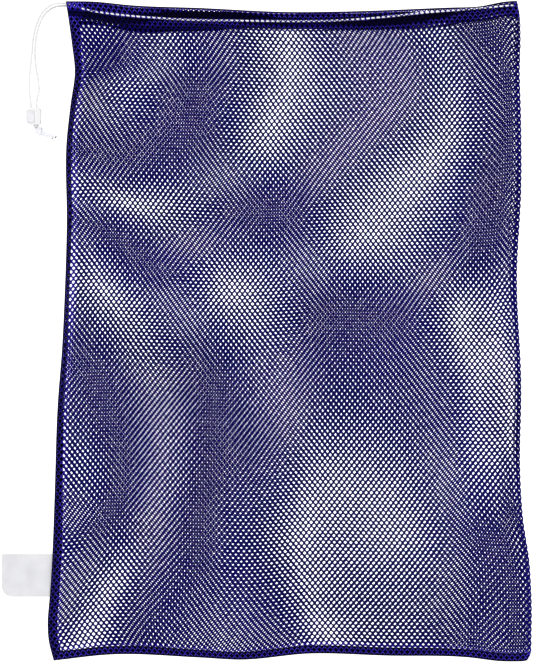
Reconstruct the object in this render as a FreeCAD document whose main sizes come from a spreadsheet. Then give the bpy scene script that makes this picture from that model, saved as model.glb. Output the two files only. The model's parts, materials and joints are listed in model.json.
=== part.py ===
"""Mesh laundry bag lying flat on its back panel, with a drawcord and a spring cord lock.

Millimetres. X runs from the sewn side to the folded side, Y from the foot to the mouth, Z is up from
the floor. The origin is under the middle of the bag and its label, on the floor.
"""
import FreeCAD, Part
import Sketcher
import math
import os
from FreeCAD import Placement, Rotation, Vector

doc = FreeCAD.newDocument("mesh_laundry_bag")

# ---------------------------------------------------------------- driving dimensions
DIMENSIONS = [
    # outline of the flat bag, as half widths about its own middle line
    ("bag_middle", 34.0),
    ("mouth_half", 298.0),
    ("waist_half", 288.0),
    ("body_half", 303.0),
    ("tuck_half", 299.0),
    ("foot_half", 317.8),
    ("mouth_edge", 438.9),
    ("waist_level", 347.0),
    ("chest_level", 240.0),
    ("tuck_level", 75.0),
    ("hip_level", -95.0),
    ("calf_level", -225.0),
    ("foot_edge", -438.9),
    ("mouth_sag", 15.0),
    ("foot_corner", 14.0),
    # cloth
    ("panel_wall", 0.9),
    ("loft", 13.6),
    ("shoulder", 8.5),
    ("hem_height", 25.0),
    ("hem_thick", 4.2),
    ("hem_wall", 0.4),
    ("hem_edge", 1.2),
    ("seam_width", 12.0),
    ("foot_seam_width", 10.6),
    ("seam_thick", 3.6),
    ("thread_width", 0.8),
    ("thread_thick", 0.4),
    ("hem_stitch_rise", 3.0),
    # label
    ("label_reach", 67.0),
    ("label_width", 57.0),
    ("label_thick", 0.8),
    ("label_rise", 0.4),
    ("label_gap", 1.0),
    ("label_top", -296.5),
    ("label_corner", 14.0),
    # cord
    ("cord_size", 3.1),
    ("knot_radius", 6.3),
    # cord lock, with its own middle line
    ("lock_middle", -309.3),
    ("lock_level", 285.3),
    ("lock_width", 20.6),
    ("lock_length", 23.5),
    ("lock_tall", 15.0),
    ("lock_base", 1.2),
    ("lock_roof", 2.1),
    ("lock_side", 2.7),
    ("lock_end", 2.75),
    ("lock_fit", 0.3),
    ("lock_round", 8.0),
    ("lock_soft", 3.5),
    ("lock_edge", 1.4),
    ("tunnel_width", 12.8),
    ("tunnel_tall", 5.2),
    ("tunnel_floor", 4.6),
    ("press_travel", 1.6),
    ("button_width", 11.0),
    ("button_length", 17.0),
    ("button_proud", 2.0),
    ("button_foot", 1.2),
    ("spring_outer", 3.5),
    ("spring_inner", 2.9),
]

sheet = doc.addObject("Spreadsheet::Sheet", "dims")
for row, (alias, size) in enumerate(DIMENSIONS, start=1):
    sheet.set(f"A{row}", alias)
    sheet.set(f"B{row}", str(size))
    sheet.setAlias(f"B{row}", alias)
doc.recompute()


def dim(alias):
    """A driving dimension as a number."""
    return float(sheet.get(alias))


def bound(text):
    """An expression in aliases, such as "loft - hem_thick", as the document's own expression."""
    words = text.replace("(", " ( ").replace(")", " ) ").split()
    known = {alias for alias, _ in DIMENSIONS}
    return " ".join(f"dims.{word}" if word in known else word for word in words)


# ---------------------------------------------------------------- helpers
def origin_plane(body, role):
    """One of a body's own origin planes."""
    return next(item for item in body.Origin.OriginFeatures if item.Role == role)


def flat_sketch(body, name, role, level="0"):
    """A sketch on a body's origin plane, lifted along the plane's normal by an expression."""
    sketch = body.newObject("Sketcher::SketchObject", name)
    sketch.AttachmentSupport = [(origin_plane(body, role), "")]
    sketch.MapMode = "FlatFace"
    sketch.setExpression(".AttachmentOffset.Base.z", bound(level))
    doc.recompute()
    return sketch


def outline(sketch, corners):
    """A closed outline of straight edges; each corner is a pair of expressions in the sketch's plane."""
    places = []
    for corner in corners:
        across, along = (float(sketch.evalExpression(bound(text))) for text in corner)
        places.append(Vector(across, along, 0))
    count = len(places)
    for index in range(count):
        edge = Part.LineSegment(places[index], places[(index + 1) % count])
        sketch.addGeometry(edge, False)
    for index in range(count):
        sketch.addConstraint(Sketcher.Constraint("Coincident", index, 2, (index + 1) % count, 1))
    for index, corner in enumerate(corners):
        for kind, place, text in zip(("DistanceX", "DistanceY"), places[index], corner):
            number = sketch.addConstraint(Sketcher.Constraint(kind, -1, 1, index, 1, place))
            sketch.setExpression(f"Constraints[{number}]", bound(text))
    return sketch


def rectangle(left, right, low, high):
    """Four corners from expressions for the sides of a rectangle."""
    return [(left, low), (right, low), (right, high), (left, high)]


def centred(width, length):
    """Four corners of a rectangle about the sketch's origin."""
    return rectangle(f"-0.5 * {width}", f"0.5 * {width}", f"-0.5 * {length}", f"0.5 * {length}")


def new_body(label):
    """An empty body whose label is its node's name."""
    body = doc.addObject("PartDesign::Body", label)
    body.Label = label
    return body


def pad(body, sketch, height):
    """A pad of a sketch, by an expression for its height."""
    feature = body.newObject("PartDesign::Pad", f"{sketch.Name}_pad")
    feature.Profile = sketch
    feature.setExpression("Length", bound(height))
    sketch.Visibility = False
    doc.recompute()
    return feature


def pocket(body, sketch, depth, along_normal=False, both_ways=False):
    """A pocket that must take material away; it cuts against the sketch's normal unless told otherwise."""
    before = body.Shape.Volume
    feature = body.newObject("PartDesign::Pocket", f"{sketch.Name}_cut")
    feature.Profile = sketch
    feature.Reversed = along_normal
    feature.Midplane = both_ways
    feature.setExpression("Length", bound(depth))
    doc.recompute()
    if not body.Shape.Volume < before:
        raise RuntimeError(f"{feature.Name} cuts nothing")
    return feature


def slab(label, corners, level, height):
    """A flat piece of even thickness, lying at a level."""
    body = new_body(label)
    pad(body, outline(flat_sketch(body, f"{label}_outline", "XY_Plane", level), corners), height)
    return body


def edges_where(shape, test):
    """Names of a shape's edges that pass a test."""
    return [f"Edge{index}" for index, edge in enumerate(shape.Edges, start=1) if test(edge)]


def fillet(body, names, radius):
    """Round some edges of a body's tip, by an expression for the radius."""
    base = body.Tip
    feature = body.newObject("PartDesign::Fillet", f"{body.Name}_round_{len(body.Group)}")
    feature.Base = (base, names)
    feature.setExpression("Radius", bound(radius))
    doc.recompute()
    return feature


def upright_at(side_x, side_y):
    """A test for the upright edge in one corner, by the signs of its place."""
    def test(edge):
        box = edge.BoundBox
        upright = box.ZLength > 1 and box.XLength < 0.01 and box.YLength < 0.01
        return upright and box.Center.x * side_x > 0 and box.Center.y * side_y > 0
    return test


# ---------------------------------------------------------------- lines that the cloth pieces share
def sewn_line(inset):
    """The sewn side from just under the hem to the foot, moved in by an expression."""
    return [
        (f"bag_middle - mouth_half + {inset}", "mouth_edge - hem_height"),
        (f"bag_middle - waist_half + {inset}", "waist_level"),
        (f"bag_middle - body_half + {inset}", "chest_level"),
        (f"bag_middle - body_half + {inset}", "hip_level"),
        (f"bag_middle - foot_half + {inset}", "calf_level"),
    ]


def folded_line(foot):
    """The folded side from the foot to just under the hem."""
    return [
        ("bag_middle + foot_half", foot),
        ("bag_middle + foot_half", "calf_level - 100"),
        ("bag_middle + body_half", "calf_level"),
        ("bag_middle + body_half", "hip_level"),
        ("bag_middle + tuck_half", "tuck_level"),
        ("bag_middle + body_half", "chest_level"),
        ("bag_middle + body_half", "waist_level"),
        ("bag_middle + mouth_half", "mouth_edge - hem_height"),
    ]


def mouth_line(drop, end_inset):
    """The sagging mouth from the folded side to the sewn side, lowered by an expression."""
    return [
        (f"bag_middle + mouth_half - {end_inset}", f"mouth_edge - {drop}"),
        ("bag_middle + 206", f"mouth_edge - 0.6 * mouth_sag - {drop}"),
        ("bag_middle", f"mouth_edge - mouth_sag - {drop}"),
        ("bag_middle - 214", f"mouth_edge - 0.4 * mouth_sag - {drop}"),
        ("bag_middle - mouth_half + seam_width", f"mouth_edge - {drop}"),
    ]


# ---------------------------------------------------------------- cloth
def make_mesh_body():
    """The pouch: two panels joined at the fold, the sewn side and the foot, and open at the mouth."""
    body = new_body("mesh_body")
    corners = (
        sewn_line("seam_width")
        + [("bag_middle - foot_half + seam_width", "foot_edge + foot_seam_width")]
        + folded_line("foot_edge + foot_seam_width")
        + mouth_line("hem_height", "0")[1:-1]
    )
    pad(body, outline(flat_sketch(body, "pouch_outline", "XY_Plane"), corners), "loft")

    hem_level = dim("mouth_edge") - dim("hem_height")
    lowest_hem = hem_level - dim("mouth_sag")

    def in_mouth(box):
        return box.YMin > lowest_hem - 1

    def shoulder_edge(edge):
        box = edge.BoundBox
        return box.ZMin > dim("loft") - 0.01 and not in_mouth(box)

    block = body.Tip
    shoulders = edges_where(block.Shape, shoulder_edge)
    soften = body.newObject("PartDesign::Chamfer", "pouch_shoulder")
    soften.Base = (block, shoulders)
    soften.setExpression("Size", bound("shoulder"))
    doc.recompute()

    mouth = [
        f"Face{index}"
        for index, face in enumerate(soften.Shape.Faces, start=1)
        if in_mouth(face.BoundBox) and face.BoundBox.ZLength > 1
    ]
    shell = body.newObject("PartDesign::Thickness", "pouch_shell")
    shell.Base = (soften, mouth)
    shell.Reversed = True
    shell.Join = 1
    shell.setExpression("Value", bound("panel_wall"))
    doc.recompute()
    return body


def make_hem(label, level):
    """One half of the turned-over hem: a flat tube along the mouth, open at both ends for the cord."""
    body = new_body(label)
    sewn_end = "bag_middle - mouth_half"
    ring = "0.5 * loft"
    band = mouth_line("0", ring)
    band += [(sewn_end, "mouth_edge"), (sewn_end, "mouth_edge - hem_height")]
    band += reversed(mouth_line("hem_height", ring))
    pad(body, outline(flat_sketch(body, f"{label}_band", "XY_Plane", level), band), "hem_thick")

    past = f"{sewn_end} - 5"
    beyond = f"( {ring} - 5 )"
    channel = mouth_line("hem_edge", beyond)
    channel += [(past, "mouth_edge - hem_edge"), (past, "mouth_edge - ( hem_height - hem_edge )")]
    channel += reversed(mouth_line("( hem_height - hem_edge )", beyond))
    inside = flat_sketch(body, f"{label}_channel", "XY_Plane", f"{level} + hem_wall")
    pocket(body, outline(inside, channel), "hem_thick - 2 * hem_wall", along_normal=True)
    return body


def make_hem_fold():
    """The hem where the cloth folds from front to back: half a ring, which the cord turns inside."""
    ring = doc.addObject("Part::Cylinder", "hem_fold_outside")
    ring.setExpression("Radius", bound("0.5 * loft"))
    hollow = doc.addObject("Part::Cylinder", "hem_fold_inside")
    hollow.setExpression("Radius", bound("0.5 * loft - hem_wall"))
    for cylinder in (ring, hollow):
        cylinder.Angle = 180
        cylinder.setExpression("Height", bound("hem_height"))
    fold = doc.addObject("Part::Cut", "hem_fold")
    fold.Label = "hem_fold"
    fold.Base = ring
    fold.Tool = hollow
    middle = dim("bag_middle") + dim("mouth_half") - dim("loft") / 2
    lower = dim("mouth_edge") - dim("hem_height")
    toward_mouth = Rotation(Vector(1, 0, 0), -90)
    half_to_right = Rotation(Vector(0, 1, 0), -90)
    fold.Placement = Placement(Vector(middle, lower, dim("loft") / 2), half_to_right.multiply(toward_mouth))
    return fold


def make_side_seam():
    """The sewn side: both panels and their binding, closed flat."""
    foot = [("bag_middle - foot_half", "foot_edge"), ("bag_middle - foot_half + seam_width", "foot_edge")]
    return slab("side_seam", sewn_line("0") + foot + sewn_line("seam_width")[::-1], "0", "seam_thick")


def make_bottom_seam():
    """The sewn foot, from the side seam to the fold, with the corner of the fold cut back."""
    inner = "bag_middle - foot_half + seam_width"
    outer = "bag_middle + foot_half"
    top = "foot_edge + foot_seam_width"
    corners = [
        (inner, top),
        (inner, "foot_edge"),
        (f"{outer} - foot_corner", "foot_edge"),
        (f"{outer} - 0.3 * foot_corner", "foot_edge + 0.3 * foot_corner"),
        (outer, top),
    ]
    return slab("bottom_seam", corners, "0", "seam_thick")


def make_hem_stitch(label, level):
    """The thread that closes one half of the hem, a little above the hem's lower edge."""
    low = "( hem_height - hem_stitch_rise )"
    high = "( hem_height - hem_stitch_rise - thread_width )"
    ring = "0.5 * loft"
    return slab(label, mouth_line(high, ring) + mouth_line(low, ring)[::-1], level, "thread_thick")


def make_side_seam_stitch():
    """The thread down the middle of the side seam."""
    end = "foot_edge + 0.5 * foot_seam_width"
    near = "0.5 * seam_width"
    far = "0.5 * seam_width + thread_width"
    foot = [(f"bag_middle - foot_half + {near}", end), (f"bag_middle - foot_half + {far}", end)]
    line = sewn_line(near) + foot + sewn_line(far)[::-1]
    return slab("side_seam_stitch", line, "seam_thick", "thread_thick")


def make_bottom_seam_stitch():
    """The thread along the middle of the bottom seam."""
    left = "bag_middle - foot_half + seam_width"
    right = "bag_middle + foot_half - foot_corner"
    low = "foot_edge + 0.5 * foot_seam_width"
    line = rectangle(left, right, low, f"{low} + thread_width")
    return slab("bottom_seam_stitch", line, "seam_thick", "thread_thick")


def make_label():
    """The folded satin tag outside the side seam, with its lower outer corner rounded off."""
    inner = "bag_middle - foot_half - label_gap"
    outer = f"{inner} - label_reach"
    low = "label_top - label_width"
    corners = [
        (inner, "label_top"),
        (outer, "label_top"),
        (outer, f"{low} + label_corner"),
        (f"{outer} + 0.3 * label_corner", f"{low} + 0.3 * label_corner"),
        (f"{outer} + label_corner", low),
        (inner, low),
    ]
    return slab("label", corners, "label_rise", "label_thick")


# ---------------------------------------------------------------- cord
# Routes of the cord's middle line. The front end leaves the front hem, the back end the back hem.
FRONT_EXIT = (-264, 435.2, 11.5)
BACK_EXIT = (-264, 432.6, 2.1)
HEM_RUN = [
    (-247, 428.0),
    (-215, 422.2),
    (-165, 417.0),
    (-110, 413.5),
    (-55, 412.3),
    (0, 411.8),
    (55, 411.4),
    (110, 412.9),
    (165, 418.0),
    (215, 423.4),
    (265, 427.2),
    (302, 430.6),
    (319, 432.0),
    (328.3, 432.5),
]
FRONT_STRAND = [
    FRONT_EXIT,
    (-275, 436.6, 11.2),
    (-288.5, 433.2, 8.0),
    (-299.8, 422.4, 4.0),
    (-307.2, 405.5, 1.8),
    (-311.0, 387.0, 1.7),
    (-312.4, 367.0, 1.7),
    (-314.6, 347.0, 1.7),
    (-315.8, 327.0, 2.4),
    (-314.6, 311.5, 5.8),
    (-313.0, 299.5, 8.1),
    (-311.2, 285.0, 8.1),
    (-308.6, 273.6, 8.0),
    (-307.0, 268.0, 7.2),
]
BACK_STRAND = [
    BACK_EXIT,
    (-275, 433.0, 1.8),
    (-286.5, 429.4, 1.7),
    (-296.8, 419.6, 1.7),
    (-303.6, 404.2, 1.7),
    (-307.2, 386.0, 1.7),
    (-308.3, 367.0, 1.7),
    (-306.2, 347.0, 1.7),
    (-303.0, 330.0, 2.3),
    (-302.4, 318.0, 4.2),
    (-305.4, 308.0, 6.6),
    (-305.7, 297.5, 8.1),
    (-305.2, 284.0, 8.1),
    (-304.9, 273.6, 8.0),
    (-303.5, 267.8, 7.0),
]
FRONT_TAIL = [(-300.4, 265.0, 4.8), (-293.0, 263.0, 3.6), (-286.5, 260.6, 3.0), (-279.6, 257.6, 2.3)]
BACK_TAIL = [(-301.8, 261.8, 4.4), (-295.2, 260.0, 2.4), (-289.6, 258.4, 1.7), (-283.8, 255.9, 1.7)]
KNOT_PLACE = (-302.9, 267.0)


def hem_route():
    """The cord's stretch in the hem: along the front, round the fold, and back along the back."""
    front = [FRONT_EXIT] + [(x, y, FRONT_EXIT[2]) for x, y in HEM_RUN]
    back = [(x, y, BACK_EXIT[2]) for x, y in reversed(HEM_RUN)] + [BACK_EXIT]
    return front + back


def tangent_path(points):
    """Straight runs joined by tangent arcs, each as large as its two runs allow, and the least radius."""
    corners = [Vector(*point) for point in points]
    edges = []
    radii = []
    start = corners[0]
    for before, corner, after in zip(corners, corners[1:], corners[2:]):
        arriving = (corner - before).normalize()
        leaving = (after - corner).normalize()
        turn = arriving.getAngle(leaving)
        reach = 0.45 * min((corner - before).Length, (after - corner).Length)
        radius = reach / math.tan(turn / 2)
        inward = (leaving - arriving).normalize()
        enter = corner - arriving * reach
        middle = corner + inward * (radius / math.cos(turn / 2) - radius)
        leave = corner + leaving * reach
        edges.append(Part.LineSegment(start, enter).toShape())
        edges.append(Part.Arc(enter, middle, leave).toShape())
        radii.append(radius)
        start = leave
    edges.append(Part.LineSegment(start, corners[-1]).toShape())
    return Part.Wire(edges), min(radii)


def make_cord(label, points):
    """A round cord swept along its route, with its volume compared with section times length."""
    radius = dim("cord_size") / 2
    path, tightest = tangent_path(points)
    ahead = Vector(*points[1]) - Vector(*points[0])
    ring = Part.Wire([Part.makeCircle(radius, Vector(*points[0]), ahead)])
    solid = path.makePipeShell([ring], True, False)
    share = solid.Volume / (math.pi * radius**2 * path.Length)
    print(f"{label}: length {path.Length:.1f}, least radius {tightest:.1f}, volume share {share:.4f}")
    if abs(share - 1) > 0.01:
        raise RuntimeError(f"{label} does not hold its section")
    cord = doc.addObject("Part::Feature", label)
    cord.Label = label
    cord.Shape = solid
    cord.Placement = Placement()
    return cord


def make_knot():
    """The overhand knot that both ends of the cord share, as the ball that it fills."""
    knot = doc.addObject("Part::Sphere", "cord_knot")
    knot.Label = "cord_knot"
    knot.setExpression("Radius", bound("knot_radius"))
    knot.Placement = Placement(Vector(*KNOT_PLACE, dim("knot_radius")), Rotation())
    return knot


# ---------------------------------------------------------------- cord lock
def at_lock(item):
    """Put a piece made about its own origin in the lock's place."""
    item.Placement = Placement(Vector(dim("lock_middle"), dim("lock_level"), 0), Rotation())
    return item


def make_lock_body():
    """The lock's moulded body, hollow for the button, with a tunnel for both strands along Y."""
    body = new_body("cord_lock_body")
    plan = flat_sketch(body, "lock_plan", "XY_Plane")
    pad(body, outline(plan, centred("lock_width", "lock_length")), "lock_tall")
    fillet(body, edges_where(body.Shape, upright_at(-1, -1)), "lock_round")
    corners = ((1, 1), (1, -1), (-1, 1))
    soft = [name for corner in corners for name in edges_where(body.Shape, upright_at(*corner))]
    fillet(body, soft, "lock_soft")
    top = edges_where(body.Shape, lambda edge: edge.BoundBox.ZMin > dim("lock_tall") - 0.01)
    fillet(body, top, "lock_edge")

    tunnel = flat_sketch(body, "lock_tunnel", "XZ_Plane")
    tunnel_roof = "tunnel_floor + tunnel_tall"
    sides = rectangle("-0.5 * tunnel_width", "0.5 * tunnel_width", "tunnel_floor", tunnel_roof)
    pocket(body, outline(tunnel, sides), "2 * lock_length", both_ways=True)
    roof = flat_sketch(body, "lock_roof_hole", "XY_Plane", "lock_tall")
    opening = centred("( button_width + 2 * lock_fit )", "( button_length + 2 * lock_fit )")
    pocket(body, outline(roof, opening), "lock_tall - lock_base")
    cavity = flat_sketch(body, "lock_cavity", "XY_Plane", "lock_tall - lock_roof")
    inner = centred("( lock_width - 2 * lock_side )", "( lock_length - 2 * lock_end )")
    pocket(body, outline(cavity, inner), "lock_tall - lock_roof - lock_base")
    return at_lock(body)


def make_lock_button():
    """The plunger: a block with its own window for the strands, kept in by the roof, and a head on it."""
    body = new_body("cord_lock_button")
    foot = "tunnel_floor + press_travel - button_foot"
    roof = "lock_tall - lock_roof - lock_fit"
    wide = "( lock_width - 2 * lock_side - 2 * lock_fit )"
    long = "( lock_length - 2 * lock_end - 2 * lock_fit )"
    block = flat_sketch(body, "button_block", "XY_Plane", foot)
    pad(body, outline(block, centred(wide, long)), f"{roof} - ( {foot} )")
    head = flat_sketch(body, "button_head", "XY_Plane", f"{roof} - 1")
    head_outline = outline(head, centred("button_width", "button_length"))
    pad(body, head_outline, "lock_roof + lock_fit + button_proud + 1")
    top = dim("lock_tall") + dim("button_proud")
    fillet(body, edges_where(body.Shape, lambda edge: edge.BoundBox.ZMin > top - 0.01), "0.5 * lock_edge")

    window = flat_sketch(body, "button_window", "XZ_Plane")
    low = "tunnel_floor + press_travel"
    sides = rectangle("-0.5 * tunnel_width", "0.5 * tunnel_width", low, f"{low} + tunnel_tall")
    pocket(body, outline(window, sides), "2 * lock_length", both_ways=True)
    return at_lock(body)


def make_lock_spring():
    """The coil spring under the plunger, as the sleeve that its turns fill."""
    outer = doc.addObject("Part::Cylinder", "spring_outside")
    inner = doc.addObject("Part::Cylinder", "spring_inside")
    outer.setExpression("Radius", bound("spring_outer"))
    inner.setExpression("Radius", bound("spring_inner"))
    for cylinder in (outer, inner):
        cylinder.setExpression("Height", bound("tunnel_floor + press_travel - button_foot - lock_base"))
    spring = doc.addObject("Part::Cut", "cord_lock_spring")
    spring.Label = "cord_lock_spring"
    spring.Base = outer
    spring.Tool = inner
    spring.Placement = Placement(Vector(dim("lock_middle"), dim("lock_level"), dim("lock_base")), Rotation())
    return spring


# ---------------------------------------------------------------- the whole object
pieces = [
    make_mesh_body(),
    make_hem("hem_back", "0"),
    make_hem("hem_front", "loft - hem_thick"),
    make_hem_fold(),
    make_side_seam(),
    make_bottom_seam(),
    make_hem_stitch("hem_stitch_back", "hem_thick"),
    make_hem_stitch("hem_stitch_front", "loft"),
    make_side_seam_stitch(),
    make_bottom_seam_stitch(),
    make_label(),
    make_cord("drawcord", hem_route()),
    make_cord("cord_strand_front", FRONT_STRAND),
    make_cord("cord_strand_back", BACK_STRAND),
    make_knot(),
    make_cord("cord_tail_front", FRONT_TAIL),
    make_cord("cord_tail_back", BACK_TAIL),
    make_lock_body(),
    make_lock_button(),
    make_lock_spring(),
]
doc.recompute()

for item in doc.Objects:
    if {"Invalid", "Error"} & set(item.State):
        raise RuntimeError(f"{item.Name} did not compute: {item.State}")
for piece in pieces:
    if piece.Shape.isNull() or not piece.Shape.isValid() or not piece.Shape.Solids:
        raise RuntimeError(f"{piece.Label} has no good shape")

os.makedirs("parts", exist_ok=True)
for piece in pieces:
    piece.Shape.exportStep(f"parts/{piece.Label}.step")
    print(f"{piece.Label}: {len(piece.Shape.Solids)} solid, {piece.Shape.Volume:.0f} cubic mm")
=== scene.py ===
"""Mesh laundry bag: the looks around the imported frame. Metres, in the same frame as the CAD."""
import bpy
import json
import math
import numpy as np
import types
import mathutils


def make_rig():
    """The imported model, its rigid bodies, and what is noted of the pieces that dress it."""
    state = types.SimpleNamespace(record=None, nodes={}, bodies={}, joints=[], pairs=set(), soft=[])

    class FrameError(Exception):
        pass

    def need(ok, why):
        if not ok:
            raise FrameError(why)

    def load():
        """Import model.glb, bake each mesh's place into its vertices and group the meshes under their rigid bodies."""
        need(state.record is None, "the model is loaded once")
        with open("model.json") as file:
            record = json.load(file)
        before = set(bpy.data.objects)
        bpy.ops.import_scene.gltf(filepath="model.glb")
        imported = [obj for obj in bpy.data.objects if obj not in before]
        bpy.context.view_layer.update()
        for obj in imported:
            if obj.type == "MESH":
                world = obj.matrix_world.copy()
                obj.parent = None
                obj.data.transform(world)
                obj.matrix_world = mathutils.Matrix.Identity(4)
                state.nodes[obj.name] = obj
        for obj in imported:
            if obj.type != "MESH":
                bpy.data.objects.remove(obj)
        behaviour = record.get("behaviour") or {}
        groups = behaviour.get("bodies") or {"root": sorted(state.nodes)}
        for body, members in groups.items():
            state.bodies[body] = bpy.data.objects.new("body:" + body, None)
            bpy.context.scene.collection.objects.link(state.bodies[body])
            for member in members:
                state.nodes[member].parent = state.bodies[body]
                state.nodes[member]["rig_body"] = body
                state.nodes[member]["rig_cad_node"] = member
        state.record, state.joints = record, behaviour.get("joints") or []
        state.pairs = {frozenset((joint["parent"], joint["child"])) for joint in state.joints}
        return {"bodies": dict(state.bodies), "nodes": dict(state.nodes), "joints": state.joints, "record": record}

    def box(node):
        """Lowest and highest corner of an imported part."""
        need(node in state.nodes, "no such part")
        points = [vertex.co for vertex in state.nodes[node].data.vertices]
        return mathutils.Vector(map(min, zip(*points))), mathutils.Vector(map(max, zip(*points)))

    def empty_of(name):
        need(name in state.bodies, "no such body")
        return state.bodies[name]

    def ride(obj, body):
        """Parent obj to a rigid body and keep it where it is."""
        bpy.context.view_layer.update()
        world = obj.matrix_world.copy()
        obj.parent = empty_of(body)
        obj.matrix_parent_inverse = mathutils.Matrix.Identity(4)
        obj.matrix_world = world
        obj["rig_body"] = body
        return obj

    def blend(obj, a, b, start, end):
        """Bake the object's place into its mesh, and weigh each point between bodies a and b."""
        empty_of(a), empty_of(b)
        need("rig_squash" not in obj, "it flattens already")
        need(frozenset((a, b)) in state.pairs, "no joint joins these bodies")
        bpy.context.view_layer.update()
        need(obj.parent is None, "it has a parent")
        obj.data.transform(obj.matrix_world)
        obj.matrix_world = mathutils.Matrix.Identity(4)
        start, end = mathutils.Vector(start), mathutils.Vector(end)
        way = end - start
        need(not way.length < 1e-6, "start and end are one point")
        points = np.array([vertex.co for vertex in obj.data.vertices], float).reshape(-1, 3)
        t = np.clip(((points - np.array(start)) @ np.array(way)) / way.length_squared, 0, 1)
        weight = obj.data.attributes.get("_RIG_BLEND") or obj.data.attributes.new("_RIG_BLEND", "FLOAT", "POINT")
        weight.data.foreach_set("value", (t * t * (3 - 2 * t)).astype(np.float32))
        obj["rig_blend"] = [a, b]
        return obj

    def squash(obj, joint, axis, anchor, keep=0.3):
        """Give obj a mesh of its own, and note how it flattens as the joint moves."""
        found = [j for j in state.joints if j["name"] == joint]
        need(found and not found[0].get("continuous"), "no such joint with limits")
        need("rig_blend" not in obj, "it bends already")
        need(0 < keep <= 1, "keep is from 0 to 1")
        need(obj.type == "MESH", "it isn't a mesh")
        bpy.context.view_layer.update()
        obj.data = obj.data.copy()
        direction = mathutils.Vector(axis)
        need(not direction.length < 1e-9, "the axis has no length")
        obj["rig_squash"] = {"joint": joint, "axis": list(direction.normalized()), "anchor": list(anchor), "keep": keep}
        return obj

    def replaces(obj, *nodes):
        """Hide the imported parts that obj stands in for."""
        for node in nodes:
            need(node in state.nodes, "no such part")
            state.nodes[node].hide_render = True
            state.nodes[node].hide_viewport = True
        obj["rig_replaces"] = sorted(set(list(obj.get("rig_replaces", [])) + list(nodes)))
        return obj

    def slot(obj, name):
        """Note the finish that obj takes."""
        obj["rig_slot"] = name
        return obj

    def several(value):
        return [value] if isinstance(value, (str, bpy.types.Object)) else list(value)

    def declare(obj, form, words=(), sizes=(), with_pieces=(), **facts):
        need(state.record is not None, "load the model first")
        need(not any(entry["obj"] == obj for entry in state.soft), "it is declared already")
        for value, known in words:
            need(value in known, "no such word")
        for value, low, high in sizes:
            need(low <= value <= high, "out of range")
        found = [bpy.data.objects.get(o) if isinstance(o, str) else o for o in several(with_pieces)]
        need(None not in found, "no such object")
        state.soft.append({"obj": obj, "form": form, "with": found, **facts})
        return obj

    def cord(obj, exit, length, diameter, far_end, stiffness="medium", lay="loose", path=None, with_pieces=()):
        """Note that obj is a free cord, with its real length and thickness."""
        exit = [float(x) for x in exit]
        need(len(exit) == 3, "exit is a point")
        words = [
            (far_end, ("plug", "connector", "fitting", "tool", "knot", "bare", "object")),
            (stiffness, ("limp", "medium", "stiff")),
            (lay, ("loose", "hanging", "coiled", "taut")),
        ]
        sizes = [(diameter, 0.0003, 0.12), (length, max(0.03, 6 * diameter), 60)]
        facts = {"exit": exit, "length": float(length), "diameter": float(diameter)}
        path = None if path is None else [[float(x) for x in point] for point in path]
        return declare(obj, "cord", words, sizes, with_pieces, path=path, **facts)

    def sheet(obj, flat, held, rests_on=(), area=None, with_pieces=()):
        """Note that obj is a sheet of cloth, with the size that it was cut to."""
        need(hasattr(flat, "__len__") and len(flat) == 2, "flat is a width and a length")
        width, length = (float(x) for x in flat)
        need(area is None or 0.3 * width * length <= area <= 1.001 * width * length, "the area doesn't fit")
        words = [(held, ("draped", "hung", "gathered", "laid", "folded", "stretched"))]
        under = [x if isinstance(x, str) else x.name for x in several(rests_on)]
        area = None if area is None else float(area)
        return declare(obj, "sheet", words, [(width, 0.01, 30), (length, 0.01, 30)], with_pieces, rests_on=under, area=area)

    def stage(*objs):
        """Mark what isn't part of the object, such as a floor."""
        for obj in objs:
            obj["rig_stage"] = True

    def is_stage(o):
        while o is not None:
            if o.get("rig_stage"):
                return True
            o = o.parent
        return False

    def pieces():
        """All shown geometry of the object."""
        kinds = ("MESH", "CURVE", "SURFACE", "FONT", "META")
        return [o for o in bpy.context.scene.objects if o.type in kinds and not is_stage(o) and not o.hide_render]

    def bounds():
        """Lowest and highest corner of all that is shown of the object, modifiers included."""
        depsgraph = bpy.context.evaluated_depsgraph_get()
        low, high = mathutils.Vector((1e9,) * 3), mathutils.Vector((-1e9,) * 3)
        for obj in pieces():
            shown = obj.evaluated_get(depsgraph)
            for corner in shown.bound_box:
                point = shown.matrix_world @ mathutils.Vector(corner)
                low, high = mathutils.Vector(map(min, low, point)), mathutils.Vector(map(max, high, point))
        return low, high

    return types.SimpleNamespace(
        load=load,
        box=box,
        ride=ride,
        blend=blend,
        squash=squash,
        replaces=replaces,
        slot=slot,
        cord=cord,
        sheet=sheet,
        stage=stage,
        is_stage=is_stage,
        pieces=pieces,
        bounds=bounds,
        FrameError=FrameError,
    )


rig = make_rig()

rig.load()
cad_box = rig.bounds()
scene = bpy.context.scene
MM = 0.001

# ------------------------------------ sizes of the net
COLUMNS = 87
ROWS = 190
HALF_PITCH = 3.5 * MM
ROW_PITCH = 4.6 * MM
HOLE_HALF_WIDTH = 0.70
HOLE_HALF_HEIGHT = 0.585
HOLE_ROUNDNESS = 1.38
NODE_RISE = 0.55 * MM
STRAND_RISE = 0.42 * MM
LAST = 2 * COLUMNS

HEM_ROWS = 5.5
SIDE_SEAM_COLUMNS = 3
FOOT_SEAM_ROWS = 2
FOOT_CORNER = 13 * MM
CORD_RADIUS = 1.55 * MM
# how far the back panel's net runs past the sewn side and the foot, where it is cut off
PAST_SIDE = 6
PAST_FOOT = 4

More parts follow.
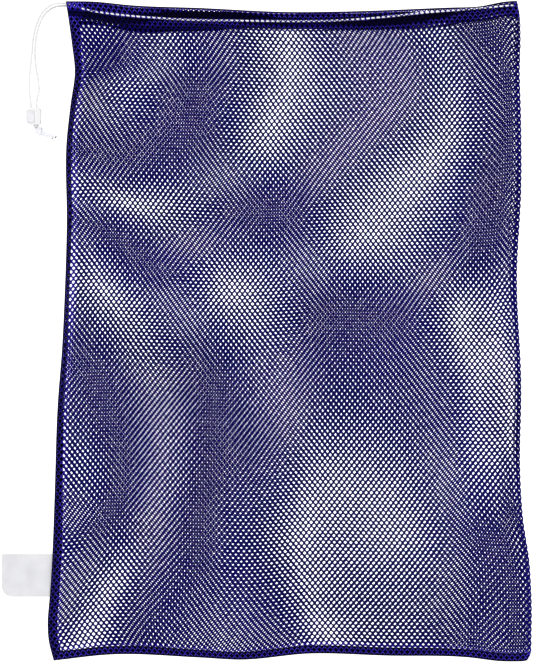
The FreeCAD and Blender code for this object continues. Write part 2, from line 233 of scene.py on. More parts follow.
# ------------------------------------ outline of the flat bag
# Each line is given by a few points along it, in millimetres.
SEWN_SIDE = [
    (-437.6, -282.5), (-411.0, -289.0), (-391.0, -290.3), (-355.0, -287.8), (-295.0, -284.0),
    (-225.0, -281.3), (-92.0, -276.6), (-25.0, -271.3), (41.0, -268.0), (141.0, -264.9),
    (254.0, -265.0), (300.0, -260.0), (347.0, -254.2), (378.0, -257.5), (407.0, -261.4), (437.6, -266.0),
]
FOLDED_SIDE = [
    (-438.5, 351.6), (-345.0, 351.8), (-305.0, 349.1), (-251.0, 341.1), (-191.0, 337.2), (-72.0, 338.5),
    (74.0, 332.8), (191.0, 338.5), (294.0, 337.9), (340.0, 336.5), (400.0, 337.2), (420.0, 336.0),
    (438.0, 332.5),
]
FOOT = [
    (-282.5, -437.6), (-208.0, -429.6), (-88.0, -433.6), (-35.0, -436.4), (58.0, -428.3), (160.0, -431.0),
    (271.0, -433.6), (311.0, -438.4), (351.6, -438.5),
]
MOUTH = [
    (-266.0, 437.6), (-231.0, 437.2), (-180.0, 432.3), (-88.0, 428.7), (31.0, 423.3), (98.0, 423.9),
    (241.0, 429.2), (281.0, 430.8), (315.0, 437.2), (332.5, 438.4),
]

# The drawcord's run along the hem, and how deep the hem and the side seam are along their lengths.
HEM_RUN = [
    (-247, 428.0), (-215, 422.2), (-165, 417.0), (-110, 413.5), (-55, 412.3), (0, 411.8), (55, 411.4),
    (110, 412.9), (165, 418.0), (215, 423.4), (265, 427.2), (302, 430.6), (319, 432.0), (328.3, 432.5),
]
HEM_DEPTH = [
    (-266, 21.5), (-215, 24), (-168, 28), (-90, 26.5), (0, 23), (100, 24), (230, 24.5), (264, 20),
    (297, 19.5), (333, 22),
]
SIDE_DEPTH = [(-438, 11), (-280, 11.5), (-150, 8), (15, 5.5), (200, 6.5), (300, 7.5), (370, 11), (420, 15)]
# Creases beside the cord: how far above and below it the hem's cloth lies in its own shade.
CREASE_ABOVE = [(-266, 0.5), (-170, 2), (-130, 8), (-20, 7), (20, 2.5), (130, 1.5), (335, 0.5)]
CREASE_BELOW = [
    (-266, 9), (-180, 8), (-150, 2.5), (0, 2.5), (100, 3.5), (150, 9), (230, 8), (270, 1.5), (335, 1.5),
]

# Where the back panel lies against the front one: how many steps it has crept along each of the net's two
# strand directions, and the places (x, y in millimetres) where it has crept that far. At whole steps the
# strands of that direction lie on each other and at half steps they lie between each other.
CREEP_RISING = [
    (-1.5, [(-225, 405)]),
    (-1.0, [(-207, 300)]),
    (-0.5, [(-251, 234), (-207, 219), (-133, 248), (-89, 293), (-81, 352), (-89, 389)]),
    (0.0, [(20, 345), (-6, 265), (-184, 172)]),
    (0.5, [(-236, 130), (-162, 93), (-103, 112), (0, 160), (74, 226), (133, 285), (173, 337), (165, 374),
           (118, 386)]),
    (1.0, [(127, 138), (172, 196), (-49, 48), (-205, 30), (240, 345)]),
    (1.5, [(281, 381), (318, 293), (295, 219), (273, 145), (229, 78), (177, 39), (118, 19), (59, -25),
           (7, -84), (-37, -133), (-100, -170), (-133, -128), (-185, -162), (-222, -114), (-251, -69),
           (-266, -261), (-214, -232), (-148, -217), (-96, -269), (-133, -328), (-170, -394)]),
    (1.8, [(-240, -190)]),
    (1.1, [(-215, -335)]),
    (2.0, [(258, 2), (312, -88), (142, -262), (80, -362), (27, -280), (204, -313), (335, 110)]),
    (2.5, [(340, -306), (307, -357), (281, -409)]),
]
CREEP_FALLING = [
    (-0.9, [(342, 300), (342, 190)]),
    (-0.5, [(273, 374), (292, 315), (306, 265), (306, 200), (303, 130)]),
    (-0.05, [(235, 250)]),
    (0.0, [(20, 345), (-6, 265), (127, 138), (172, 196), (258, 2), (312, -88)]),
    (0.25, [(-240, 300), (-225, 370)]),
    (0.5, [(-251, 248), (-185, 240), (-155, 263), (-185, 320), (-89, 219), (-15, 174), (22, 115), (66, 49),
           (133, 5), (192, -47), (236, -106), (244, -195), (281, -269), (325, -305)]),
    (1.0, [(-49, 48), (-184, 172), (142, -262), (80, -362), (27, -280), (0, -60)]),
    (1.5, [(-244, 160), (-207, 115), (-148, 56), (-89, -18), (-66, -69), (-74, -121), (-66, -180),
           (-81, -232), (-66, -298), (-37, -372), (-22, -416)]),
    (2.0, [(-205, 20), (-150, -100), (-160, -300), (-220, -345)]),
    (2.5, [(-258, -77), (-229, -136), (-222, -195), (-236, -254), (-263, -291)]),
]


# ------------------------------------ shape helpers
def smooth_line(points):
    """A function through (place, value) points with smooth bends, both given in millimetres."""
    at = np.array([p[0] for p in points], float) * MM
    value = np.array([p[1] for p in points], float) * MM
    slope = np.gradient(value, at)

    def line(where):
        where = np.clip(where, at[0], at[-1])
        k = np.clip(np.searchsorted(at, where) - 1, 0, len(at) - 2)
        gap = at[k + 1] - at[k]
        f = (where - at[k]) / gap
        rise = value[k] * (1 + 2 * f) * (1 - f) ** 2 + value[k + 1] * f**2 * (3 - 2 * f)
        return rise + gap * (slope[k] * f * (1 - f) ** 2 - slope[k + 1] * f**2 * (1 - f))

    return line


def smooth_step(value):
    value = np.clip(value, 0.0, 1.0)
    return value * value * (3 - 2 * value)


sewn_side = smooth_line(SEWN_SIDE)
folded_side = smooth_line(FOLDED_SIDE)
foot_line = smooth_line(FOOT)
mouth_line = smooth_line(MOUTH)
cord_level = smooth_line(HEM_RUN)
hem_depth = smooth_line(HEM_DEPTH)
side_depth = smooth_line(SIDE_DEPTH)
crease_above = smooth_line(CREASE_ABOVE)
crease_below = smooth_line(CREASE_BELOW)
LOW_LEFT = np.array(FOOT[0]) * MM
LOW_RIGHT = np.array(FOOT[-1]) * MM
TOP_LEFT = np.array(MOUTH[0]) * MM
TOP_RIGHT = np.array(MOUTH[-1]) * MM


def flat_place(u, v):
    """Where a point of the cloth lies in plan: u from the sewn side to the fold, v from foot to mouth."""
    foot_x = LOW_LEFT[0] + (LOW_RIGHT[0] - LOW_LEFT[0]) * u
    mouth_x = TOP_LEFT[0] + (TOP_RIGHT[0] - TOP_LEFT[0]) * u
    left_y = LOW_LEFT[1] + (TOP_LEFT[1] - LOW_LEFT[1]) * v
    right_y = LOW_RIGHT[1] + (TOP_RIGHT[1] - LOW_RIGHT[1]) * v
    corners_x = (1 - u) * (1 - v) * LOW_LEFT[0] + u * (1 - v) * LOW_RIGHT[0]
    corners_x = corners_x + (1 - u) * v * TOP_LEFT[0] + u * v * TOP_RIGHT[0]
    corners_y = (1 - u) * (1 - v) * LOW_LEFT[1] + u * (1 - v) * LOW_RIGHT[1]
    corners_y = corners_y + (1 - u) * v * TOP_LEFT[1] + u * v * TOP_RIGHT[1]
    x = (1 - v) * foot_x + v * mouth_x + (1 - u) * sewn_side(left_y) + u * folded_side(right_y) - corners_x
    y = (1 - v) * foot_line(foot_x) + v * mouth_line(mouth_x) + (1 - u) * left_y + u * right_y - corners_y
    near_fold = np.clip(1 - (1 - u) * COLUMNS * 2 * HALF_PITCH / FOOT_CORNER, 0, 1)
    near_foot = np.clip(1 - v * ROWS * ROW_PITCH / FOOT_CORNER, 0, 1)
    x = x - FOOT_CORNER * near_fold * (1 - np.sqrt(1 - near_foot**2 / 2))
    y = y + FOOT_CORNER * near_foot * (1 - np.sqrt(1 - near_fold**2 / 2))
    return x, y


def ripple(x, y, phase=0.0):
    """Long, low waves of slack cloth, from -1 to 1 or so."""
    wave = np.sin(9.0 * x + 5.0 * y + phase) + 0.7 * np.sin(-6.5 * x + 13.0 * y + 1.3 + phase)
    return (wave + 0.6 * np.sin(17.0 * x - 9.0 * y + 2.1 * phase)) / 2.3


def thin_plate(levels):
    """A smooth field that has the given values at the given places: levels are (value, [(x, y), ...])."""
    place = np.array([point for _, points in levels for point in points], float) * MM
    value = np.array([level for level, points in levels for _ in points], float)

    def kernel(square):
        return 0.5 * square * np.log(square + 1e-12)

    count = len(place)
    between = ((place[:, None] - place[None]) ** 2).sum(-1)
    system = np.zeros((count + 3, count + 3))
    system[:count, :count] = kernel(between) + 1e-5 * np.eye(count)
    system[:count, count] = 1
    system[:count, count + 1 :] = place
    system[count:, :count] = system[:count, count:].T
    weights = np.linalg.solve(system, np.concatenate([value, np.zeros(3)]))

    def field(x, y):
        total = weights[count] + x * weights[count + 1] + y * weights[count + 2]
        for (px, py), weight in zip(place, weights):
            total = total + kernel((x - px) ** 2 + (y - py) ** 2) * weight
        return total

    return field


crept_rising = thin_plate(CREEP_RISING)
crept_falling = thin_plate(CREEP_FALLING)


def holes_in_line(x, y):
    """How nearly the two panels' holes lie over each other, from 0 to 1."""
    return (np.cos(math.pi * crept_rising(x, y)) * np.cos(math.pi * crept_falling(x, y))) ** 2


def hem_scale(column):
    """How deep the hem is at a column, against its even depth in rows."""
    x, _ = flat_place(column / LAST, 1.0)
    return hem_depth(x) / (HEM_ROWS * ROW_PITCH)


# ------------------------------------ the net
ROUND = [(math.cos(k * math.pi / 4), math.sin(k * math.pi / 4)) for k in range(8)]
HOLE_LOOP = np.array([
    (math.copysign(abs(c) ** (2 / HOLE_ROUNDNESS), c), math.copysign(abs(s) ** (2 / HOLE_ROUNDNESS), s))
    for c, s in ROUND
])


def new_mesh(name, points, faces):
    """A smooth-shaded mesh object from arrays; faces are all of one size."""
    mesh = bpy.data.meshes.new(name)
    points = np.asarray(points, np.float32)
    faces = np.asarray(faces, np.int32)
    corners = faces.shape[1]
    mesh.vertices.add(len(points))
    mesh.vertices.foreach_set("co", points.ravel())
    mesh.loops.add(faces.size)
    mesh.loops.foreach_set("vertex_index", faces.ravel())
    mesh.polygons.add(len(faces))
    mesh.polygons.foreach_set("loop_start", np.arange(len(faces), dtype=np.int32) * corners)
    mesh.polygons.foreach_set("use_smooth", np.full(len(faces), True))
    mesh.update(calc_edges=True)
    piece = bpy.data.objects.new(name, mesh)
    scene.collection.objects.link(piece)
    return piece


def net(name, first_column, last_column, first_row, last_row, place, seed, opening=1.0, sheen=None):
    """Knitted net over a block of the cloth, laid by place(column, row) -> points and their normals.

    Columns and rows count half pitches. Holes sit where column + row is even and knitted knots where it is
    odd, and each small square between them holds half a strand's length on each side of its middle. An
    opening below 1 draws the holes closed, as in a hem or a seam; it may be given as opening(column, row).
    And sheen(column, row) scales the crest light, the painted shade and painted highlight that the yarn's colour ramp
    reads.
    """
    random = np.random.default_rng(seed)
    columns = np.arange(first_column, last_column + 1)
    rows = np.arange(first_row, last_row + 1)
    column, row = np.meshgrid(columns, rows)
    wide, tall = column.shape[1], column.shape[0]
    is_hole = (column + row) % 2 == 0
    jitter = random.normal(0.0, 0.018, (2, tall, wide))
    size = opening(column, row) if callable(opening) else opening
    size = size + random.normal(0.0, 0.025, (tall, wide))

    # every lattice point gets a loop of 8 (used where it is a hole) and a middle (used where it is a knot)
    loop_x = column[..., None] + jitter[0][..., None] + HOLE_HALF_WIDTH * size[..., None] * HOLE_LOOP[:, 0]
    loop_y = row[..., None] + jitter[1][..., None] + HOLE_HALF_HEIGHT * size[..., None] * HOLE_LOOP[:, 1]
    knot_x = column + random.normal(0.0, 0.03, column.shape)
    knot_y = row + random.normal(0.0, 0.03, row.shape)
    strand_x = column[:-1, :-1] + 0.5 + random.normal(0.0, 0.02, (tall - 1, wide - 1))
    strand_y = row[:-1, :-1] + 0.5 + random.normal(0.0, 0.02, (tall - 1, wide - 1))
    every_x = np.concatenate([loop_x.ravel(), knot_x.ravel(), strand_x.ravel()])
    every_y = np.concatenate([loop_y.ravel(), knot_y.ravel(), strand_y.ravel()])
    every_x = np.clip(every_x, first_column, last_column)
    every_y = np.clip(every_y, first_row, last_row)
    strand_lift = STRAND_RISE * (1 + random.normal(0.0, 0.2, strand_x.size))
    knot_lift = NODE_RISE * (1 + random.normal(0.0, 0.15, knot_x.size))
    lift = np.concatenate([np.zeros(loop_x.size), knot_lift, strand_lift])
    # crest light: painted light across each strand, 0 (painted shade) at the holes' rims, 0.55 on the knots and 1
    # (painted highlight) along the strands' middles
    crest = np.concatenate([np.zeros(loop_x.size), np.full(knot_x.size, 0.55), np.ones(strand_x.size)])
    if sheen:
        crest = crest * sheen(every_x, every_y)
    points, normals = place(every_x, every_y)
    points = points + normals * lift[:, None]

    knots = loop_x.size + np.arange(column.size).reshape(column.shape)
    middle = loop_x.size + column.size + np.arange(strand_x.size).reshape(strand_x.shape)
    loops = np.arange(loop_x.size).reshape(tall, wide, 8)
    a, b = slice(None, -1), slice(1, None)
    falling = is_hole[a, a]
    rising = ~falling
    faces = []

    def quads(chosen, *corners):
        faces.append(np.stack([corner[chosen] for corner in corners], axis=-1))

    p, q = loops[a, b], loops[b, a]
    low, high = knots[a, a], knots[b, b]
    quads(rising, low, p[..., 4], p[..., 3], middle)
    quads(rising, middle, p[..., 3], p[..., 2], high)
    quads(rising, low, middle, q[..., 7], q[..., 6])
    quads(rising, middle, high, q[..., 0], q[..., 7])
    p, q = loops[a, a], loops[b, b]
    low, high = knots[a, b], knots[b, a]
    quads(falling, low, middle, p[..., 1], p[..., 0])
    quads(falling, middle, high, p[..., 2], p[..., 1])
    quads(falling, low, q[..., 6], q[..., 5], middle)
    quads(falling, middle, q[..., 5], q[..., 4], high)
    faces = np.concatenate(faces)

    # faces that the cut along an edge has squeezed to nothing are left out
    corner = points[faces]
    spread = np.linalg.norm(np.cross(corner[:, 2] - corner[:, 0], corner[:, 3] - corner[:, 1]), axis=1)
    faces = faces[spread > 1e-9]

    used, faces = np.unique(faces, return_inverse=True)
    piece = new_mesh(name, points[used], faces.reshape(-1, 4))
    attribute = piece.data.attributes.new("crest", "FLOAT", "POINT")
    attribute.data.foreach_set("value", crest[used].astype(np.float32))
    return piece


def with_normals(surface):
    """Turns surface(column, row) -> points into a function that also gives unit normals."""
    step = 0.02

    def place(column, row):
        along = surface(column + step, row) - surface(column - step, row)
        up = surface(column, row + step) - surface(column, row - step)
        normals = np.cross(along, up)
        normals /= np.linalg.norm(normals, axis=1, keepdims=True) + 1e-12
        return surface(column, row), normals

    return place


FRONT_LEVEL = 12.6 * MM
SEAM_LEVEL = 2.9 * MM
HEM_TOP_LEVEL = 13.1 * MM
BACK_LEVEL = 0.45 * MM


def wobble(x, y):
    """Small drifts of the cloth in its own plane."""
    return 0.9 * MM * np.sin(21 * y + 7 * x), 0.9 * MM * np.sin(17 * x - 11 * y + 0.8)


def front_height(column, row, x, y):
    """How high the front panel stands: down at the seams and the fold, up over the hem's cord."""
    from_seam = column * HALF_PITCH
    from_foot = row * ROW_PITCH
    from_fold = (LAST - column) * HALF_PITCH
    from_mouth = (ROWS - row) * ROW_PITCH / hem_scale(column)
    corner = smooth_step((from_mouth - 20 * MM) / (90 * MM))
    side_rise = smooth_step(from_seam / (6 * MM + 34 * MM * corner))
    fold_rise = 1 - corner * (1 - smooth_step(from_fold / (38 * MM)))
    foot_rise = smooth_step(from_foot / (34 * MM))
    level = FRONT_LEVEL + 0.8 * MM * ripple(x, y)
    height = SEAM_LEVEL + (level - SEAM_LEVEL) * side_rise * fold_rise * foot_rise
    hem = smooth_step(((HEM_ROWS + 2) * ROW_PITCH - from_mouth) / (8 * MM))
    height = height * (1 - hem) + HEM_TOP_LEVEL * hem
    stitched = np.exp(-(((from_mouth - HEM_ROWS * ROW_PITCH) / (3 * MM)) ** 2))
    height = height - 1.6 * MM * stitched
    rolled = np.clip(1 - from_mouth / (2.2 * MM), 0, 1)
    return height - 1.8 * MM * rolled**2


def round_the_fold(from_fold, radius):
    """How far the cloth has turned over at the fold, as an angle, and how far out it reaches there."""
    quarter = 0.5 * math.pi * radius
    turn = np.clip(1 - from_fold / quarter, 0, 1) * math.pi / 2
    spare = (quarter - radius) * np.exp(-np.clip(from_fold - quarter, 0, None) / (60 * MM))
    return turn, np.where(turn > 0, from_fold - radius * (1 - np.sin(turn)), spare)


def front_surface(column, row):
    """The front panel, with its last columns carried round the fold."""
    x, y = flat_place(column / LAST, row / ROWS)
    drift_x, drift_y = wobble(x, y)
    inside = smooth_step(column / 6.0) * smooth_step((LAST - column) / 6.0)
    inside = inside * smooth_step(row / 5.0) * smooth_step((ROWS - row) / 5.0)
    height = front_height(column, row, x, y)
    radius = 0.5 * (height - BACK_LEVEL)
    from_fold = (LAST - column) * HALF_PITCH
    turn, pull = round_the_fold(from_fold, radius)
    z = height - radius * (1 - np.cos(turn))
    return np.stack([x + drift_x * inside + pull, y + drift_y * inside, z], axis=1)


def back_surface(column, row):
    """The back panel on the floor, crept against the front one, and brought up to meet it at the fold.

    Its net runs past the sewn side and the foot, and is cut off there along the bag's outline.
    """
    x, y = flat_place(column / LAST, row / ROWS)
    drift_x, drift_y = wobble(x, y)
    inside = smooth_step((LAST - column) / 6.0) * smooth_step((ROWS - row) / 5.0)
    rising, falling = crept_rising(x, y), crept_falling(x, y)
    shift_x = (rising + falling) * HALF_PITCH
    shift_y = (rising - falling) * ROW_PITCH
    height = front_height(column, row, x, y)
    radius = 0.5 * (height - BACK_LEVEL)
    from_fold = (LAST - column) * HALF_PITCH
    turn, pull = round_the_fold(from_fold, radius)
    z = BACK_LEVEL + radius * (1 - np.cos(turn)) + 0.12 * MM * (1 + ripple(x, y, 2.0))
    move_x = (drift_x + shift_x) * inside
    move_y = (drift_y + shift_y) * inside
    edge_x, _ = flat_place(0.0, row / ROWS + move_y / (ROWS * ROW_PITCH))
    _, edge_y = flat_place(column / LAST + move_x / (LAST * HALF_PITCH), 0.0)
    return np.stack([np.maximum(x + move_x + pull, edge_x), np.maximum(y + move_y, edge_y), z], axis=1)


def hem_layer(base, shift_column, shift_row, level, sway=0.0):
    """A second layer of the hem's cloth at its own height, shifted along the net and swaying a little."""
    def surface(column, row):
        wave = sway * (np.sin(column / 13.0 + shift_column) + 0.6 * np.sin(column / 4.7))
        points = base(column + shift_column, in_hem(column, row + shift_row + wave))
        points[:, 2] = level(points[:, 2], row)
        return points

    return surface


def in_hem(column, row):
    """The panel's row for a row counted in the hem's own depth."""
    return ROWS - (ROWS - row) * hem_scale(column)


def side_layer(column, row):
    """The side seam's allowance, turned in between the two panels."""
    _, y = flat_place(0.0, row / ROWS)
    points = front_surface(column * side_depth(y) / (SIDE_SEAM_COLUMNS * HALF_PITCH), row + 1)
    points[:, 2] = 1.6 * MM
    return points


def foot_layer(column, row):
    """The bottom seam's allowance, turned in between the two panels."""
    points = front_surface(column + 1, row * 1.1)
    points[:, 2] = 1.6 * MM
    return points


def hem_line(base):
    """The panel with its rows drawn to the hem's own depth, for the stitches along it."""
    return lambda column, row: base(column, in_hem(column, row))


# ------------------------------------ tubes, stitches and cord
def spaced(points, spacing):
    """The same line, with points at even steps along it."""
    points = np.asarray(points, float)
    length = np.concatenate([[0], np.cumsum(np.linalg.norm(np.diff(points, axis=0), axis=1))])
    steps = max(2, int(round(length[-1] / spacing)) + 1)
    even = np.linspace(0, length[-1], steps)
    return np.stack([np.interp(even, length, points[:, axis]) for axis in range(3)], axis=1)


def tube(points, radius, sides, relief=None):
    """Points and four-sided faces of a closed tube along a line; relief(angle, along) scales its radius."""
    points = np.asarray(points, float)
    ahead = np.gradient(points, axis=0)
    ahead /= np.linalg.norm(ahead, axis=1, keepdims=True)
    along = np.concatenate([[0], np.cumsum(np.linalg.norm(np.diff(points, axis=0), axis=1))])
    side = np.cross(ahead[0], (0.0, 0.0, 1.0) if abs(ahead[0][2]) < 0.9 else (1.0, 0.0, 0.0))
    angles = np.arange(sides) * 2 * math.pi / sides
    rings = []
    for point, forward, reach in zip(points, ahead, along):
        side = side - forward * np.dot(side, forward)
        side /= np.linalg.norm(side)
        across = np.cross(forward, side)
        size = radius * (np.ones(sides) if relief is None else relief(angles, reach))
        around = np.cos(angles)[:, None] * side + np.sin(angles)[:, None] * across
        rings.append(point + size[:, None] * around)
    rings = np.array(rings)
    first = points[0] + (rings[0] - points[0]) * 0.05
    last = points[-1] + (rings[-1] - points[-1]) * 0.05
    rings = np.concatenate([[first], rings, [last]])
    index = np.arange(rings.shape[0] * sides).reshape(-1, sides)
    turned = np.roll(index, -1, axis=1)
    faces = np.stack([index[:-1], turned[:-1], turned[1:], index[1:]], axis=-1).reshape(-1, 4)
    return rings.reshape(-1, 3), faces


def tubes(name, lines, radius, sides, relief=None):
    """Many tubes as one piece."""
    points, faces, count = [], [], 0
    for line in lines:
        some, around = tube(line, radius, sides, relief)
        points.append(some)
        faces.append(around + count)
        count += len(some)
    return new_mesh(name, np.concatenate(points), np.concatenate(faces))


def stitches(surface, start, stop, pitch, lift, swing=0.0):
    """Small arches of thread along a line of the cloth, each from one needle hole towards the next.

    With a swing the thread zigzags that many rows or columns to each side of its line.
    """
    place = with_normals(surface)
    start, stop = np.array(start, float), np.array(stop, float)
    line = start + (stop - start) * np.linspace(0, 1, 400)[:, None]
    points, _ = place(line[:, 0], line[:, 1])
    length = np.linalg.norm(np.diff(points, axis=0), axis=1).sum()
    count = int(length / pitch)
    across = np.array([stop[1] - start[1], start[0] - stop[0]])
    across = across / np.linalg.norm(across)
    rows = []
    for k in range(count):
        side = swing * (1 if k % 2 else -1)
        f = (k + np.array([0.04, 0.3, 0.7, 0.96])) / count
        lattice = start + (stop - start) * f[:, None]
        lattice = lattice + across * (side * np.array([-1, -0.5, 0.5, 1]))[:, None]
        at, up = place(lattice[:, 0], lattice[:, 1])
        rows.append(at + up * (lift * np.array([0.1, 1.0, 1.0, 0.1]))[:, None])
    return rows


def spline_points(points, spacing):
    """Even points along one smooth spline steered by the route's corner points, given in millimetres."""
    curve = bpy.data.curves.new("route", "CURVE")
    curve.dimensions = "3D"
    curve.resolution_u = 16
    spline = curve.splines.new("NURBS")
    spline.points.add(len(points) - 1)
    for corner, point in zip(spline.points, points):
        corner.co = (point[0] * MM, point[1] * MM, point[2] * MM, 1.0)
    spline.order_u = 3
    spline.use_endpoint_u = True
    holder = bpy.data.objects.new("route", curve)
    mesh = bpy.data.meshes.new_from_object(holder)
    line = np.array([vertex.co for vertex in mesh.vertices])
    bpy.data.objects.remove(holder)
    bpy.data.meshes.remove(mesh)
    bpy.data.curves.remove(curve)
    return spaced(line, spacing)


def braid(angles, along):
    """The plait of a round cord: eight carriers crossing in two directions."""
    turn = along * 2 * math.pi / (3.4 * MM)
    left = np.cos(4 * angles + turn)
    right = np.cos(4 * angles - turn)
    return 0.94 + 0.07 * np.maximum(left, right)


# ------------------------------------ materials
def shader(name, roughness, specular=0.5, sheen=0.0, sheen_tint=(1, 1, 1)):
    """A new material with its node tree and principled shader."""
    material = bpy.data.materials.new(name)
    material.use_nodes = True
    surface = material.node_tree.nodes["Principled BSDF"]
    surface.inputs["Roughness"].default_value = roughness
    surface.inputs["Specular IOR Level"].default_value = specular
    surface.inputs["Sheen Weight"].default_value = sheen
    surface.inputs["Sheen Tint"].default_value = (*sheen_tint, 1)
    return material, material.node_tree, surface


def texture(tree, kind, scale, **inputs):
    """A procedural texture in the piece's own coordinates, in metres times scale."""
    where = tree.nodes.new("ShaderNodeTexCoord")
    node = tree.nodes.new(kind)
    tree.links.new(where.outputs["Object"], node.inputs["Vector"])
    node.inputs["Scale"].default_value = scale
    for key, value in inputs.items():
        node.inputs[key.replace("_", " ")].default_value = value
    return node


def colour_ramp(tree, source, *stops):
    """Colours by the value of a socket; stops are (value, (red, green, blue))."""
    ramp = tree.nodes.new("ShaderNodeValToRGB")
    elements = ramp.color_ramp.elements
    while len(elements) < len(stops):
        elements.new(0.5)
    for element, (value, colour) in zip(elements, stops):
        element.position = value
        element.color = (*colour, 1)
    tree.links.new(source, ramp.inputs["Fac"])
    return ramp.outputs["Color"]


def bump(tree, surface, height, strength, distance):
    """Fine relief from a height socket, in metres."""
    node = tree.nodes.new("ShaderNodeBump")
    node.inputs["Strength"].default_value = strength
    node.inputs["Distance"].default_value = distance
    tree.links.new(height, node.inputs["Height"])
    tree.links.new(node.outputs["Normal"], surface.inputs["Normal"])


def multiply(tree, first, second, amount):
    """One colour socket times another."""
    node = tree.nodes.new("ShaderNodeMix")
    node.data_type = "RGBA"
    node.blend_type = "MULTIPLY"
    node.inputs["Factor"].default_value = amount
    tree.links.new(first, node.inputs["A"])
    tree.links.new(second, node.inputs["B"])
    return node.outputs["Result"]


def yarn_material(name, valley, body_colour, crest_colour, sheen):
    """Knitted polyester with painted light on each strand: painted shade in the valleys by the holes, a painted
    highlight on the crests.
    """
    material, tree, surface = shader(name, 0.5, 0.08, sheen, (0.45, 0.4, 1.0))
    crest = tree.nodes.new("ShaderNodeAttribute")
    crest.attribute_name = "crest"
    # by the crest light, the ramp paints shade with the valley colour and a highlight with the crest colour; the middle
    # colour is the yarn's indigo
    body = colour_ramp(tree, crest.outputs["Fac"], (0.0, valley), (0.5, body_colour), (0.75, crest_colour))
    cloud = texture(tree, "ShaderNodeTexNoise", 9.0, Detail=3.0)
    shade = colour_ramp(tree, cloud.outputs["Fac"], (0.3, (0.8, 0.78, 0.84)), (0.7, (1, 1, 1)))
    tree.links.new(multiply(tree, body, shade, 1.0), surface.inputs["Base Color"])
    loops = texture(tree, "ShaderNodeTexVoronoi", 2300.0)
    bump(tree, surface, loops.outputs["Distance"], 0.5, 0.00025)
    return material


def thread_material():
    """Dark sewing thread with a fine twist."""
    material, tree, surface = shader("sewing_thread", 0.5, 0.25, 0.15, (0.4, 0.4, 0.9))
    cloud = texture(tree, "ShaderNodeTexNoise", 60.0)
    dark, light = (0.001, 0.001, 0.012), (0.008, 0.005, 0.08)
    colour = colour_ramp(tree, cloud.outputs["Fac"], (0.3, dark), (0.8, light))
    tree.links.new(colour, surface.inputs["Base Color"])
    twist = texture(tree, "ShaderNodeTexWave", 900.0, Distortion=1.0)
    bump(tree, surface, twist.outputs["Fac"], 0.4, 0.0001)
    return material


def cord_material(name, low, high):
    """White braided polyester with faint grey tones at random over the plait."""
    material, tree, surface = shader(name, 0.7, 0.15, 0.05, (1, 1, 1))
    plait = texture(tree, "ShaderNodeTexNoise", 700.0, Detail=2.0)
    colour = colour_ramp(tree, plait.outputs["Fac"], (0.35, low), (0.65, high))
    tree.links.new(colour, surface.inputs["Base Color"])
    fibre = texture(tree, "ShaderNodeTexWave", 1100.0, Distortion=2.5)
    bump(tree, surface, fibre.outputs["Fac"], 0.35, 0.00012)
    return material


def tip_material():
    """Cord end melted with a flame: brown and glossy."""
    material, tree, surface = shader("melted_cord_end", 0.3, 0.5)
    char = texture(tree, "ShaderNodeTexNoise", 500.0, Detail=3.0)
    colour = colour_ramp(tree, char.outputs["Fac"], (0.35, (0.05, 0.035, 0.025)), (0.7, (0.3, 0.25, 0.2)))
    tree.links.new(colour, surface.inputs["Base Color"])
    bump(tree, surface, char.outputs["Fac"], 0.4, 0.0003)
    return material


def label_material():
    """Pale satin ribbon with fine cross ribs and a faint lavender cast."""
    material, tree, surface = shader("label_satin", 0.38, 0.4, 0.15)
    surface.inputs["Anisotropic"].default_value = 0.4
    cloud = texture(tree, "ShaderNodeTexNoise", 45.0, Detail=4.0)
    colour = colour_ramp(tree, cloud.outputs["Fac"], (0.3, (0.69, 0.69, 0.71)), (0.75, (0.76, 0.76, 0.775)))
    tree.links.new(colour, surface.inputs["Base Color"])
    rib = texture(tree, "ShaderNodeTexWave", 520.0, Distortion=0.6, Detail=2.0)
    bump(tree, surface, rib.outputs["Fac"], 0.25, 0.00008)
    return material


def plastic_material(name, colour, roughness):
    """Moulded white plastic with a little grain."""
    material, tree, surface = shader(name, roughness, 0.5)
    surface.inputs["Subsurface Weight"].default_value = 0.08
    surface.inputs["Subsurface Radius"].default_value = (0.002, 0.002, 0.002)
    cloud = texture(tree, "ShaderNodeTexNoise", 120.0, Detail=3.0)
    darker = tuple(0.95 * value for value in colour)
    clouded = colour_ramp(tree, cloud.outputs["Fac"], (0.3, darker), (0.7, colour))
    tree.links.new(clouded, surface.inputs["Base Color"])
    grain = texture(tree, "ShaderNodeTexNoise", 1500.0)
    bump(tree, surface, grain.outputs["Fac"], 0.12, 0.0001)
    return material


def steel_material():
    """Drawn spring wire with fine lines along it."""
    material, tree, surface = shader("spring_steel", 0.28)
    surface.inputs["Metallic"].default_value = 1.0
    cloud = texture(tree, "ShaderNodeTexNoise", 400.0)
    colour = colour_ramp(tree, cloud.outputs["Fac"], (0.3, (0.45, 0.45, 0.46)), (0.7, (0.62, 0.62, 0.63)))
    tree.links.new(colour, surface.inputs["Base Color"])
    drawn = texture(tree, "ShaderNodeTexWave", 1500.0, Distortion=1.0)
    bump(tree, surface, drawn.outputs["Fac"], 0.15, 0.00005)
    return material


def finished(piece, material, slot_name, body, *nodes):
    """Gives a piece its material, its slot, the body it rides on and the CAD nodes it stands for."""
    piece.data.materials.clear()
    piece.data.materials.append(material)
    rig.slot(piece, slot_name)
    if body:
        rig.ride(piece, body)
    if nodes:
        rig.replaces(piece, *nodes)
    return piece


# The panel yarn's first colour is painted shade at the strands' sides, and its last colour is a painted highlight on
# their crests.
panel_yarn = yarn_material(
    "panel_yarn", (0.0006, 0.0003, 0.014), (0.03, 0.012, 0.48), (0.25, 0.195, 0.7), 0.01
)
# Painted shade: the same indigo net painted near-black, for the hem's inside layers and the seams' allowances that lie
# between other layers.
hem_yarn = yarn_material(
    "hem_yarn", (0.0005, 0.0003, 0.008), (0.001, 0.0006, 0.02), (0.003, 0.0015, 0.04), 0.0
)
thread = thread_material()
